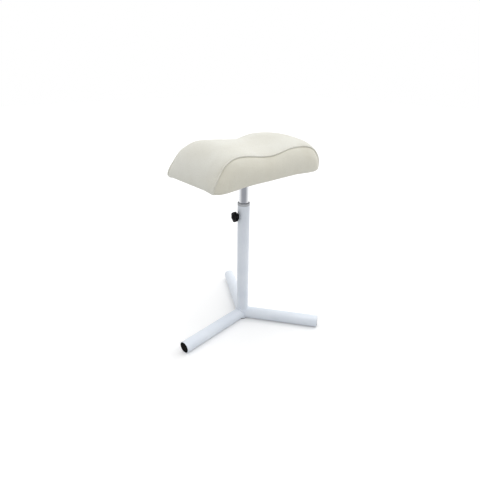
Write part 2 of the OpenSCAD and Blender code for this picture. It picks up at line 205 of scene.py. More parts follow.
def mouldedPlastic(name, colour, worn, roughness, texture=0.9, shine=0.5):
    # Moulded or turned plastic: even colour, with a fine even texture that spreads the highlight
    look = {"cloud": 9, "smoother": 0.06, "rougher": 0.08, "bump": 0.25}
    material, tree, place = startMaterial(name)
    cloud = addNode(tree, "ShaderNodeTexNoise", {
        "Scale": patternScale(look["cloud"]), "Detail": 5.0,
    }, {"Vector": place})
    grit = addNode(tree, "ShaderNodeTexNoise", {
        "Scale": patternScale(texture), "Detail": 3.0,
    }, {"Vector": place})
    base = addNode(tree, "ShaderNodeValToRGB", links={"Fac": cloud}, stops=[(0.35, colour), (0.75, worn)])
    rough = addNode(tree, "ShaderNodeMapRange", {
        "From Min": 0.3, "From Max": 0.7,
        "To Min": roughness - look["smoother"], "To Max": roughness + look["rougher"],
    }, {"Value": cloud})
    bump = addNode(tree, "ShaderNodeBump", {
        "Strength": look["bump"], "Distance": mm(0.2),
    }, {"Height": grit})
    shader = addNode(tree, "ShaderNodeBsdfPrincipled", {
        "IOR": 1.49, "Specular IOR Level": shine,
    }, {"Base Color": base, "Roughness": rough, "Normal": bump})
    addNode(tree, "ShaderNodeOutputMaterial", links={"Surface": shader})
    return material


def chromePlate(name, edge):
    # Decorative chrome over drawn steel tube: mirror-bright, with faint draw lines along it, smudges, and a
    # painted reflection that is darker face-on and bright at the edges
    look = {
        "colour": "#909298", "deep": "#83858B", "drawLine": 1.1, "drawStretch": 0.02, "smudge": 34,
        "roughness": (0.13, 0.25), "paintedReflection": (0.1, 0.42), "bump": 0.06,
    }
    material, tree, place = startMaterial(name)
    along = addNode(tree, "ShaderNodeMapping", {
        "Scale": (1.0, 1.0, look["drawStretch"]),
    }, {"Vector": place})
    lines = addNode(tree, "ShaderNodeTexNoise", {
        "Scale": patternScale(look["drawLine"]), "Detail": 3.0,
    }, {"Vector": along})
    smudge = addNode(tree, "ShaderNodeTexNoise", {
        "Scale": patternScale(look["smudge"]), "Detail": 6.0,
    }, {"Vector": place})
    face = addNode(tree, "ShaderNodeValToRGB", links={"Fac": smudge}, stops=[
        (0.3, look["deep"]), (0.7, look["colour"]),
    ])
    # Painted reflection: the colour runs from the darker face-on colour to the brighter edge colour where
    # the view grazes it, standing in for the studio's reflections on the tube
    layer = addNode(tree, "ShaderNodeLayerWeight", {"Blend": 0.5})
    paintedReflection = addNode(tree, "ShaderNodeMapRange", {
        "From Min": look["paintedReflection"][0], "From Max": look["paintedReflection"][1],
    }, {"Value": layer.outputs["Facing"]})
    base = addNode(tree, "ShaderNodeMix", {"data_type": "RGBA", 7: toLinear(edge)}, {0: paintedReflection, 6: face})
    rough = addNode(tree, "ShaderNodeMapRange", {
        "From Min": 0.4, "From Max": 0.75, "To Min": look["roughness"][0], "To Max": look["roughness"][1],
    }, {"Value": smudge})
    bump = addNode(tree, "ShaderNodeBump", {
        "Strength": look["bump"], "Distance": mm(0.2),
    }, {"Height": lines})
    shader = addNode(tree, "ShaderNodeBsdfPrincipled", {"Metallic": 1.0}, {
        "Base Color": base.outputs[2], "Roughness": rough, "Normal": bump,
    })
    addNode(tree, "ShaderNodeOutputMaterial", links={"Surface": shader})
    return material


def zincPlate():
    # Bright electroplated zinc, passivated: grey metal with a faint blue and straw tint in patches
    look = {
        "grey": "#B7BBC0", "blue": "#A9B4C2", "straw": "#C2BDA9", "patch": 5, "grain": 0.8,
        "roughness": (0.26, 0.42), "bump": 0.2,
    }
    material, tree, place = startMaterial("bright_zinc_plate_passivated")
    patch = addNode(tree, "ShaderNodeTexNoise", {
        "Scale": patternScale(look["patch"]), "Detail": 4.0,
    }, {"Vector": place})
    grain = addNode(tree, "ShaderNodeTexNoise", {
        "Scale": patternScale(look["grain"]), "Detail": 2.0,
    }, {"Vector": place})
    base = addNode(tree, "ShaderNodeValToRGB", links={"Fac": patch}, stops=[
        (0.3, look["blue"]), (0.5, look["grey"]), (0.74, look["straw"]),
    ])
    rough = addNode(tree, "ShaderNodeMapRange", {
        "From Min": 0.3, "From Max": 0.7, "To Min": look["roughness"][0], "To Max": look["roughness"][1],
    }, {"Value": patch})
    bump = addNode(tree, "ShaderNodeBump", {
        "Strength": look["bump"], "Distance": mm(0.1),
    }, {"Height": grain})
    shader = addNode(tree, "ShaderNodeBsdfPrincipled", {"Metallic": 1.0}, {
        "Base Color": base, "Roughness": rough, "Normal": bump,
    })
    addNode(tree, "ShaderNodeOutputMaterial", links={"Surface": shader})
    return material


def birchPlywood():
    # Rotary-cut birch plywood, sanded: pale wavy figure on the faces, light and dark plies on the edge
    look = {
        "pale": "#DDC08F", "light": "#E6CFA4", "dark": "#B98F5C", "glue": "#8D6538",
        "figure": 7, "figureStretch": 0.06, "ply": 2.4, "roughness": 0.6, "bump": 0.3,
    }
    boardLow, _ = frameBox("seat_board")
    material, tree, place = startMaterial("birch_plywood_sanded")
    along = addNode(tree, "ShaderNodeMapping", {
        "Scale": (look["figureStretch"], 1.0, 1.0),
    }, {"Vector": place})
    figure = addNode(tree, "ShaderNodeTexNoise", {
        "Scale": patternScale(look["figure"]), "Detail": 7.0, "Distortion": 0.6,
    }, {"Vector": along})
    face = addNode(tree, "ShaderNodeValToRGB", links={"Fac": figure}, stops=[
        (0.32, look["dark"]), (0.5, look["pale"]), (0.8, look["light"]),
    ])
    parts = addNode(tree, "ShaderNodeSeparateXYZ", links={"Vector": place})
    level = addNode(tree, "ShaderNodeMath", {
        "operation": "SUBTRACT", 1: mm(boardLow[2]),
    }, {0: parts.outputs["Z"]})
    turns = addNode(tree, "ShaderNodeMath", {
        "operation": "MULTIPLY", 1: math.pi / mm(look["ply"]),
    }, {0: level})
    wave = addNode(tree, "ShaderNodeMath", {"operation": "SINE"}, {0: turns})
    layer = addNode(tree, "ShaderNodeMapRange", {"From Min": -1, "From Max": 1}, {"Value": wave})
    plies = addNode(tree, "ShaderNodeValToRGB", links={"Fac": layer}, stops=[
        (0.1, look["dark"]), (0.5, look["glue"]), (0.9, look["pale"]),
    ])
    facing = addNode(tree, "ShaderNodeNewGeometry").outputs["Normal"]
    upright = addNode(tree, "ShaderNodeSeparateXYZ", links={"Vector": facing})
    flat = addNode(tree, "ShaderNodeMath", {"operation": "ABSOLUTE"}, {0: upright.outputs["Z"]})
    base = addNode(tree, "ShaderNodeMix", {"data_type": "RGBA"}, {0: flat, 6: plies, 7: face})
    bump = addNode(tree, "ShaderNodeBump", {
        "Strength": look["bump"], "Distance": mm(0.3),
    }, {"Height": figure})
    shader = addNode(tree, "ShaderNodeBsdfPrincipled", {"IOR": 1.5, "Roughness": look["roughness"]}, {
        "Base Color": base.outputs[2], "Normal": bump,
    })
    addNode(tree, "ShaderNodeOutputMaterial", links={"Surface": shader})
    return material


def leatherette(name="ivory_vinyl_leatherette_embossed", lift=0.0):
    # Calendered vinyl on knit backing, embossed with a leather grain: ivory, satin, small pebbles. The real
    # pebbles are about 0.8 mm across; they are drawn at 2.4 mm so that the render still shows them
    look = {
        "colour": "#E9E8DF", "shade": "#E2E0D5", "crease": "#D0CDC1", "paintedPanelShade": "#F9F7F2",
        "tone": 70, "pebble": 2.4, "wander": 7, "wanderBy": 2.2, "fine": 0.9, "fineHeight": 0.35,
        "roughness": (0.41, 0.52), "gloss": 0.2, "bump": 0.28,
    }
    material, tree, place = startMaterial(name)
    tone = addNode(tree, "ShaderNodeTexNoise", {
        "Scale": patternScale(look["tone"]), "Detail": 3.0,
    }, {"Vector": place})
    fine = addNode(tree, "ShaderNodeTexNoise", {
        "Scale": patternScale(look["fine"]), "Detail": 3.0,
    }, {"Vector": place})
    wander = addNode(tree, "ShaderNodeTexNoise", {
        "Scale": patternScale(look["wander"]), "Detail": 2.0,
    }, {"Vector": place})
    moved = addNode(tree, "ShaderNodeVectorMath", {
        "operation": "MULTIPLY_ADD", 1: (mm(look["wanderBy"]),) * 3,
    }, {0: wander.outputs["Color"], 2: place})
    pebbles = addNode(tree, "ShaderNodeTexVoronoi", {
        "feature": "DISTANCE_TO_EDGE", "Scale": patternScale(look["pebble"]),
    }, {"Vector": moved})
    wide = addNode(tree, "ShaderNodeValToRGB", links={"Fac": tone}, stops=[
        (0.32, look["shade"]), (0.6, look["colour"]),
    ])
    # Painted shade: the colour darkens toward the crease colour in the grooves between the pebbles
    depth = addNode(tree, "ShaderNodeMapRange", {
        "From Min": 0.0, "From Max": 0.1, "To Min": 0.35, "To Max": 0.0,
    }, {"Value": pebbles})
    paintedCreaseShade = addNode(tree, "ShaderNodeMix", {
        "data_type": "RGBA", 7: toLinear(look["crease"]),
    }, {0: depth, 6: wide})
    # Painted shade: the front and back panels are tinted a little darker and warmer than the top
    panel = addNode(tree, "ShaderNodeAttribute", {"attribute_name": "paintedPanelShade"})
    base = addNode(tree, "ShaderNodeMix", {
        "data_type": "RGBA", "blend_type": "MULTIPLY", 7: toLinear(look["paintedPanelShade"]),
    }, {0: panel.outputs["Fac"], 6: paintedCreaseShade.outputs[2]})
    crease = addNode(tree, "ShaderNodeMapRange", {"From Min": 0.0, "From Max": 0.16}, {"Value": pebbles})
    height = addNode(tree, "ShaderNodeMath", {
        "operation": "MULTIPLY_ADD", 1: look["fineHeight"],
    }, {0: fine, 2: crease})
    bump = addNode(tree, "ShaderNodeBump", {
        "Strength": look["bump"], "Distance": mm(0.5),
    }, {"Height": height})
    rough = addNode(tree, "ShaderNodeMapRange", {
        "From Min": 0.3, "From Max": 0.7,
        "To Min": look["roughness"][0] + lift, "To Max": look["roughness"][1] + lift,
    }, {"Value": tone})
    shader = addNode(tree, "ShaderNodeBsdfPrincipled", {"IOR": 1.5, "Specular IOR Level": look["gloss"]}, {
        "Base Color": base.outputs[2], "Roughness": rough, "Normal": bump,
    })
    addNode(tree, "ShaderNodeOutputMaterial", links={"Surface": shader})
    return material


def dustCloth():
    # Spunbond polypropylene, point-bonded: dark grey fibre web with a fine grid of pressed dots
    look = {
        "fibre": "#3B3B3E", "gap": "#242427", "web": 1.6, "dot": 1.6, "dotDisorder": 0.15,
        "roughness": 0.85, "sheen": 0.2, "bump": 0.4,
    }
    material, tree, place = startMaterial("spunbond_dust_cloth")
    web = addNode(tree, "ShaderNodeTexNoise", {
        "Scale": patternScale(look["web"]), "Detail": 8.0, "Distortion": 2.5,
    }, {"Vector": place})
    base = addNode(tree, "ShaderNodeValToRGB", links={"Fac": web}, stops=[
        (0.38, look["gap"]), (0.62, look["fibre"]),
    ])
    dots = addNode(tree, "ShaderNodeTexVoronoi", {
        "Scale": patternScale(look["dot"]), "Randomness": look["dotDisorder"],
    }, {"Vector": place})
    press = addNode(tree, "ShaderNodeMapRange", {"From Min": 0.1, "From Max": 0.4}, {"Value": dots})
    bump = addNode(tree, "ShaderNodeBump", {
        "Strength": look["bump"], "Distance": mm(0.3),
    }, {"Height": press})
    shader = addNode(tree, "ShaderNodeBsdfPrincipled", {
        "IOR": 1.5, "Roughness": look["roughness"], "Sheen Weight": look["sheen"],
    }, {"Base Color": base, "Normal": bump})
    addNode(tree, "ShaderNodeOutputMaterial", links={"Surface": shader})
    return material


def openFoam():
    # Cut polyurethane foam: straw-yellow, matt, open cells, with painted shade darkening the cells' hollows
    look = {"cellWall": "#E6D596", "paintedCellShade": "#B9A25C", "cell": 1.2, "roughness": 0.9}
    material, tree, place = startMaterial("polyurethane_foam_cut")
    cells = addNode(tree, "ShaderNodeTexVoronoi", {"Scale": patternScale(look["cell"])}, {"Vector": place})
    base = addNode(tree, "ShaderNodeValToRGB", links={"Fac": cells}, stops=[
        (0.1, look["paintedCellShade"]), (0.6, look["cellWall"]),
    ])
    shader = addNode(tree, "ShaderNodeBsdfPrincipled", {
        "Roughness": look["roughness"],
    }, {"Base Color": base})
    addNode(tree, "ShaderNodeOutputMaterial", links={"Surface": shader})
    return material


print("materials")
paint = powderCoat()
blackPlastic = mouldedPlastic("black_polyamide_moulded", "#0B0B0D", "#141417", 0.5, shine=0.1)
plugPlastic = mouldedPlastic("black_polyethylene_moulded", "#070708", "#0D0D0F", 0.65, shine=0.03)
greyPlastic = mouldedPlastic("grey_acetal_moulded", "#C9CBCF", "#BFC2C7", 0.4, texture=0.7)
nylon = mouldedPlastic("natural_nylon_turned", "#E6E2D4", "#D9D5C6", 0.38, texture=0.6)
# The second colour of each chrome is its painted reflection at the grazing edges
chrome = chromePlate("bright_chrome_plate", "#DADBDE")
flangeChrome = chromePlate("satin_chrome_plate", "#A9ABB0")
zinc = zincPlate()
plywood = birchPlywood()
vinyl = leatherette()
welt = leatherette("ivory_vinyl_welt_stretched", lift=-0.04)
spunbond = dustCloth()
foam = openFoam()

# The frame's own pieces take the finish of their slot, and three have one of their own
finishOfSlot = {
    "white_paint": paint, "black_plastic": blackPlastic, "grey_plastic": greyPlastic, "white_nylon": nylon,
    "chrome_plate": chrome, "zinc_plate": zinc, "plywood": plywood, "foam": foam,
    "leatherette": vinyl, "dust_cloth": spunbond,
}
finishOfNode = {"column_foot_plug": plugPlastic, "post_end_plug": plugPlastic, "post_flange": flangeChrome}
for row in frame["record"]["subparts"]:
    finish = finishOfNode.get(row["node"], finishOfSlot[row["material_slot"]])
    for materialSlot in nodes[row["node"]].material_slots:
        materialSlot.material = finish


# Cushion. The form is the frame's own: outlines across the length, one after another over the width
coverLow, coverHigh = frameBox("cover_top", "cover_front", "cover_back")
cushionForm = {
    "length": coverHigh[0] - coverLow[0], "width": coverHigh[1] - coverLow[1],
    "height": coverHigh[2] - coverLow[2], "underside": coverLow[2],
    "offset": ((coverLow[0] + coverHigh[0]) / 2, (coverLow[1] + coverHigh[1]) / 2),
    "crown": 4, "valley": 10, "valleyFill": 0.72, "endRound": 71, "roll": 52,
    "cornerLow": 25, "cornerTop": 42, "cornerRise": 40,
    "drawIn": 2, "widest": 4,  # the foot is drawn in, and the sides are widest this high
    "lean": (3.8, -3.0), "leanHeight": 30,

    # The stuffing isn't even: it is wider to the right
    "valleyX": -9, "rightCrest": 68, "leftRise": 3.5, "rightRise": 3.0, "leftShape": 1.9, "rightShape": 2.6,

    # Points along one outline, and outlines over the width
    "footSteps": 5, "endSteps": 16, "topSteps": 44, "rollSteps": 14, "acrossSteps": 12,

    # The seams, whose ends run out to the corners and tuck under the hem
    "seamTurn": 46, "seamSpread": 6, "seamSpreadHeight": 50, "seamTuck": 8, "seamDrop": 6,
    "seamSlope": 1.3,  # length over the rolled cover for each millimetre across

    # The shape starts a little inside the finished one, and the filling swells it
    "start": 0.5, "startValley": 2.2, "voxel": 4.5, "pressure": 30.0, "swellCap": 5.0,
    "clothMass": 0.05, "clothTension": 12, "clothShear": 5, "clothBending": 0.6,
    "clothQuality": 5, "clothFrames": 20, "seamHold": (1.5, 9), "footHold": (3, 12), "smoothing": 3,

    # Sewn details: depth first, then where each fades, from the seam, the ends, the sides or the foot
    "gutter": 1.0, "gutterWidth": 3.4,
    "pucker": 0.45, "puckerSize": 11, "puckerReach": 13, "puckerFrom": (1.5, 4), "puckerSeed": 7.3,
    "gather": 1.5, "gatherTurns": 8.5, "gatherCentre": 45, "gatherEnd": (60, 10), "gatherSide": (55, 8),
    "gatherFoot": (0.5, 3), "gatherTop": (4, 34), "gatherSeeds": (3.1, 5.7),
    "billow": 0.5, "billowSize": (60, 45, 30), "billowFrom": (4, 16), "billowSeed": 4,
    "sag": 2.5, "sagHeight": 24, "cornerSag": 3.7, "sagEnd": (100, 38), "sagSide": (42, 6),

    # The hem is turned under and stapled, inside a shallow recess
    "hem": 26, "hemEdge": 2, "hemFlat": 8, "recess": 8, "recessEdge": 2.5, "footLevel": 0.6,
}
endX = cushionForm["length"] / 2
sideY = cushionForm["width"] / 2
crestX = endX - cushionForm["endRound"]
flatY = sideY - cushionForm["roll"]
underY = sideY - cushionForm["drawIn"]


# In these outlines, within is how far they lie inside the finished form

def rollY(turn, within):
    return sideY - within - (cushionForm["roll"] - within) * (1 - math.cos(turn))


def rollInset(turn, within):
    return within + (cushionForm["roll"] - within) * (1 - math.sin(turn))


def planInset(y, z, within):
    # Inset of the ends, which rounds the corners in plan, less so at the foot where the cover is stapled
    form = cushionForm
    rise = smoothStep(0, form["cornerRise"], z)
    corner = form["cornerLow"] + (form["cornerTop"] - form["cornerLow"]) * rise
    share = min(1, max(0, (abs(y) - sideY + corner) / (corner - within)))
    return within + (corner - within) * (1 - math.sqrt(1 - share * share))


def liftAt(y, within):
    share = min(1, max(0, (y + within - underY) / cushionForm["drawIn"]))
    return cushionForm["widest"] * (1 - math.sqrt(max(0, 1 - share * share)))


def endOutline(y, within, crest, crestHeight, shape):
    # One end from the foot up to the crest, as distances from the middle and heights
    form = cushionForm
    lift = liftAt(abs(y), within)
    wide = max(form["widest"], lift)
    points = []
    for k in range(form["footSteps"]):
        turn = math.pi / 2 * k / form["footSteps"]
        z = lift + (wide - lift) * (1 - math.cos(turn))
        points.append((endX - planInset(y, z, within) - form["drawIn"] * (1 - math.sin(turn)), z))
    for k in range(form["endSteps"]):
        turn = math.pi / 2 * k / form["endSteps"]
        z = wide + (crestHeight - wide) * math.sin(turn) ** (2 / shape)
        reach = endX - planInset(y, z, within) - crest
        points.append((crest + reach * math.cos(turn) ** (2 / shape), z))
    return points


def outlineAt(y, inset, within):
    # The outline at this place over the width, from the left foot over both humps to the right foot
    form = cushionForm
    middle = max(0, 1 - (y / flatY) ** 2)
    crestHeight = form["height"] - form["crown"] - inset + form["crown"] * middle
    depth = form["valley"] * (1 - form["valleyFill"] * middle)
    if within > 0:
        depth += form["startValley"] * middle
    top = []
    for k in range(form["topSteps"] + 1):
        x = (crestX + form["rightCrest"]) * k / form["topSteps"] - crestX
        crest = form["rightCrest"] if x > form["valleyX"] else -crestX
        share = (x - form["valleyX"]) / (crest - form["valleyX"])
        rightward = smoothStep(-crestX, form["rightCrest"], x)
        rise = form["leftRise"] + (form["rightRise"] - form["leftRise"]) * rightward
        top.append((x, crestHeight + rise - depth * (1 + math.cos(math.pi * share)) / 2))
    left = endOutline(y, within, crestX, crestHeight + form["leftRise"], form["leftShape"])
    right = endOutline(y, within, form["rightCrest"], crestHeight + form["rightRise"], form["rightShape"])
    return [(-x, z) for x, z in left] + top + right[::-1]


def cushionShift(z):
    # How far the cushion lies off the post's axis at this height, as it leans a little
    form = cushionForm
    share = smoothStep(0, form["leanHeight"], z)
    return [offset + lean * share for offset, lean in zip(form["offset"], form["lean"])]


def cushionPoint(x, y, z):
    shiftX, shiftY = cushionShift(z)
    return Vector((mm(x + shiftX), mm(y + shiftY), mm(z + cushionForm["underside"])))


def inCushion(point):
    # The same place back in the form's own millimetres
    z = point.z * 1000 - cushionForm["underside"]
    shiftX, shiftY = cushionShift(z)
    return point.x * 1000 - shiftX, point.y * 1000 - shiftY, z


def cushionRings(within):
    # Fine steps round each rolled side, and even ones over the middle
    form = cushionForm
    turns = [math.pi / 2 * k / form["rollSteps"] for k in range(form["rollSteps"] + 1)]
    rolled = [(rollY(turn, within), rollInset(turn, within)) for turn in turns]
    across = [flatY * (2 * k / form["acrossSteps"] - 1) for k in range(1, form["acrossSteps"])]
    stations = [(-y, inset) for y, inset in rolled] + [(y, within) for y in across] + rolled[::-1]
    return [[cushionPoint(x, y, z) for x, z in outlineAt(y, inset, within)] for y, inset in stations]


def seamReach(z):
    # How far the seam lies from the cushion's middle line at this height
    spread = cushionForm["seamSpread"] * (1 - smoothStep(0, cushionForm["seamSpreadHeight"], z))
    return rollY(math.radians(cushionForm["seamTurn"]), 0) + spread


def seamDistance(point):
    # Distance over the surface to the nearer seam
    _, y, z = inCushion(point)
    return abs(abs(y) - seamReach(z)) * cushionForm["seamSlope"]


def seamLine(side):
    turn = math.radians(cushionForm["seamTurn"])
    outline = outlineAt(rollY(turn, 0), rollInset(turn, 0), 0)
    line = [cushionPoint(x, side * seamReach(z), z) for x, z in outline]
    inward = Vector((mm(cushionForm["seamTuck"]), 0, 0))
    below = Vector((0, 0, -mm(cushionForm["seamDrop"])))
    first, last = line[0] + below, line[-1] + below
    return [first + inward, first] + line + [last, last - inward]


def startCushion():
    rings = cushionRings(cushionForm["start"])
    count = len(rings[0])
    vertices = [point for ring in rings for point in ring]
    faces = [list(range(count))[::-1], [(len(rings) - 1) * count + i for i in range(count)]]
    for j in range(len(rings) - 1):
        for i in range(count):
            a, b = j * count + i, j * count + (i + 1) % count
            faces.append([a, b, b + count, a + count])
    obj = meshObject("cushion_cover", vertices, faces)
    outwardFaces(obj)
    remesh = addModifier(obj, "REMESH")
    remesh.mode = "VOXEL"
    remesh.voxel_size = mm(cushionForm["voxel"])
    applyModifiers(obj)
    return obj


def swellCushion(obj):
    # The filling pushes the cover out; the seams and the underside hold it back
    form = cushionForm
    held = obj.vertex_groups.new(name="held")
    bottom = mm(form["underside"] + form["footHold"][0])
    for vertex in obj.data.vertices:
        seam = 1 - smoothStep(*form["seamHold"], seamDistance(vertex.co))
        low = 1 - smoothStep(bottom, bottom + mm(form["footHold"][1]), vertex.co.z)
        held.add([vertex.index], max(seam, low), "REPLACE")
    start = [vertex.co.copy() for vertex in obj.data.vertices]
    cloth = addModifier(obj, "CLOTH")
    cloth.settings.quality = form["clothQuality"]
    cloth.settings.mass = form["clothMass"]
    cloth.settings.tension_stiffness = form["clothTension"]
    cloth.settings.compression_stiffness = form["clothTension"]
    cloth.settings.shear_stiffness = form["clothShear"]
    cloth.settings.bending_stiffness = form["clothBending"]
    cloth.settings.use_pressure = True
    cloth.settings.uniform_pressure_force = form["pressure"]
    cloth.settings.vertex_group_mass = held.name
    cloth.settings.effector_weights.gravity = 0
    cloth.collision_settings.use_collision = False
    for number in range(1, form["clothFrames"] + 1):
        scene.frame_set(number)
    applyModifiers(obj)
    scene.frame_set(1)
    moved = 0.0
    cap = mm(form["swellCap"])
    for vertex, old in zip(obj.data.vertices, start):
        step = vertex.co - old
        if step.length > cap:
            vertex.co = old + step * (cap / step.length)
        moved += min(step.length, cap)
    print("cushion swelled by", round(1000 * moved / len(start), 2), "mm on average")


def subdivideOnce(obj):
    smooth = addModifier(obj, "SMOOTH")
    smooth.iterations = cushionForm["smoothing"]
    subdivision = addModifier(obj, "SUBSURF")
    subdivision.levels = subdivision.render_levels = 1
    applyModifiers(obj)


def cornerShare(x, y, end, side):
    # 0 away from the corners and 1 in them, between these two insets from the end and from the side
    nearEnd = smoothStep(endX - end[0], endX - end[1], abs(x))
    nearSide = smoothStep(sideY - side[0], sideY - side[1], abs(y))
    return nearEnd * nearSide


def sewnShift(x, y, z, off):
    # How far sewing moves the cover along its normal here, this far off the seam
    form = cushionForm
    right, back = (1 if x > 0 else -1), (1 if y > 0 else -1)
    shift = -form["gutter"] * math.exp(-(off / form["gutterWidth"]) ** 2)

    size = form["puckerSize"]
    fade = math.exp(-(off / form["puckerReach"]) ** 2) * smoothStep(*form["puckerFrom"], off)
    shift += form["pucker"] * noiseAt(x / size, back * form["puckerSeed"], z / size) * fade

    centre, seeds = form["gatherCentre"], form["gatherSeeds"]
    around = math.atan2(abs(y) - sideY + centre, abs(x) - endX + centre)
    gather = noiseAt(around * form["gatherTurns"], back * seeds[0], right * seeds[1])
    fade = (1 - smoothStep(*form["gatherTop"], z)) * smoothStep(*form["gatherFoot"], z)
    shift += form["gather"] * gather * cornerShare(x, y, form["gatherEnd"], form["gatherSide"]) * fade

    sizes = form["billowSize"]
    billow = noiseAt(x / sizes[0], y / sizes[1], z / sizes[2] + form["billowSeed"])
    return shift + form["billow"] * billow * smoothStep(*form["billowFrom"], z)


def sewCushion(obj):
    # Gutters under the piping, small puckers beside it, gathers at the corners, and the hem turned under
    form = cushionForm
    mesh = obj.data
    normals = [vertex.normal.copy() for vertex in mesh.vertices]
    for vertex, normal in zip(mesh.vertices, normals):
        x, y, z = inCushion(vertex.co)
        sag = form["sag"] + form["cornerSag"] * cornerShare(x, y, form["sagEnd"], form["sagSide"])
        if z > form["footLevel"]:
            sag *= 1 - smoothStep(0, form["sagHeight"], z)
            shift = sewnShift(x, y, z, seamDistance(vertex.co))
            vertex.co = vertex.co + normal * mm(shift) - Vector((0, 0, mm(sag)))
        else:
            inside = min(endX - abs(x), sideY - abs(y))
            hang = sag * (1 - smoothStep(form["hemEdge"], form["hem"] - form["hemFlat"], inside))
            recess = form["recess"] * smoothStep(0, form["recessEdge"], inside - form["hem"])
            vertex.co.z = mm(form["underside"]) + mm(recess - hang)
    mesh.update()


def markSidePanels(obj):
    # 1 on the front and back panels, which the leatherette darkens a little as painted shade
    panel = obj.data.attributes.new("paintedPanelShade", "FLOAT", "POINT")
    for index, vertex in enumerate(obj.data.vertices):
        _, y, z = inCushion(vertex.co)
        panel.data[index].value = 1.0 if abs(y) > seamReach(z) else 0.0


print("cushion")
cushion = startCushion()
swellCushion(cushion)
subdivideOnce(cushion)
sewCushion(cushion)
markSidePanels(cushion)
smoothFaces(cushion)
cushion.data.materials.append(vinyl)
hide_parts("foam_core", "cover_top", "cover_front", "cover_back")
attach(cushion, "seat")


# Piping. A vinyl welt over a cord, laid into each gutter
pipingForm = {
    "diameter": 4.0, "step": 3.0, "sides": 14, "smoothing": 3,
    "proud": 0.7, "pressedBy": 1.4, "pressedTilt": 0.6,  # shares of its radius; the hem holds the ends flat
    "wobble": 0.12, "wobbleScale": 90, "creaseAngle": 60,
}


def resampled(points, step):
    out, carried = [points[0].copy()], 0.0
    for a, b in zip(points, points[1:]):
        length = (b - a).length
        while carried + length >= step:
            share = (step - carried) / length
            a = a.lerp(b, share)
            out.append(a.copy())
            length = (b - a).length
            carried = 0.0
        carried += length
    out.append(points[-1].copy())
    return out


def pipingPath(side, surface):
    form = pipingForm
    path = []
    for point in resampled(seamLine(side), mm(form["step"])):
        place, normal, _, _ = surface.find_nearest(point)
        pressed = form["pressedBy"] * smoothStep(0, form["pressedTilt"], -normal.z)
        path.append(place + normal * mm(form["diameter"] / 2) * (form["proud"] - pressed))
    for _ in range(form["smoothing"]):
        inner = [(a + b * 2 + c) / 4 for a, b, c in zip(path, path[1:], path[2:])]
        path = [path[0]] + inner + [path[-1]]
    return path


def pipingPiece(name, side, surface):
    form = pipingForm
    sides = form["sides"]
    path = pipingPath(side, surface)
    vertices, faces = [], []
    across = Vector((0, 1, 0))
    for i, centre in enumerate(path):
        along = (path[min(i + 1, len(path) - 1)] - path[max(i - 1, 0)]).normalized()
        out = along.cross(across).normalized()
        wide = out.cross(along).normalized()
        wobble = form["wobble"] * noise.noise(centre * form["wobbleScale"])
        for k in range(sides):
            turn = 2 * math.pi * k / sides
            spoke = out * math.cos(turn) + wide * math.sin(turn)
            vertices.append(centre + spoke * mm(form["diameter"] / 2 + wobble))
    for i in range(len(path) - 1):
        for k in range(sides):
            a, b = i * sides + k, i * sides + (k + 1) % sides
            faces.append([a, a + sides, b + sides, b])
    faces += [list(range(sides)), [(len(path) - 1) * sides + k for k in range(sides)][::-1]]
    obj = meshObject(name, vertices, faces)
    outwardFaces(obj)
    smoothFaces(obj, form["creaseAngle"])
    obj.data.materials.append(welt)
    return obj


print("piping")
coverSurface = BVHTree.FromObject(cushion, bpy.context.evaluated_depsgraph_get())
for label, side in (("front", -1), ("back", 1)):
    piping = pipingPiece("cushion_piping_" + label, side, coverSurface)
    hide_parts("piping_" + label)
    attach(piping, "seat")


# Dust cloth. Stapled flat under the board, with a hole for the flange
clothLow, clothHigh = frameBox("dust_cloth")
clothForm = {
    "halfX": (clothHigh[0] - clothLow[0]) / 2, "halfY": (clothHigh[1] - clothLow[1]) / 2, "corner": 12,
    "top": clothHigh[2], "thickness": clothHigh[2] - clothLow[2], "clearance": 0.02,
    "hole": frameReach((1, 0, 0), "post_flange") + 1,  # 1 mm clear of the flange
    "around": 220, "rows": 22, "rowShape": 1.25,
    "sag": 1.1, "sagMiddle": 0.6, "sagSpread": 0.9, "sagSize": 38, "sagSeed": 2.0,
    "edgeHold": 22, "holeHold": 14, "searchReach": 400, "searchSteps": 40, "creaseAngle": 40,
}


def clothEdge(turn):
    # Distance from the hole's centre to the rounded rectangle's edge in this direction, by halving
    form = clothForm
    centreX, centreY = cushionForm["offset"]
    low, high = 0.0, form["searchReach"]
    for _ in range(form["searchSteps"]):
        middle = (low + high) / 2
        cornerX = abs(middle * math.cos(turn) - centreX) - form["halfX"] + form["corner"]
        cornerY = abs(middle * math.sin(turn) - centreY) - form["halfY"] + form["corner"]
        gap = math.hypot(max(cornerX, 0), max(cornerY, 0)) + min(max(cornerX, cornerY), 0) - form["corner"]
        if gap > 0:
            high = middle
        else:
            low = middle
    return low


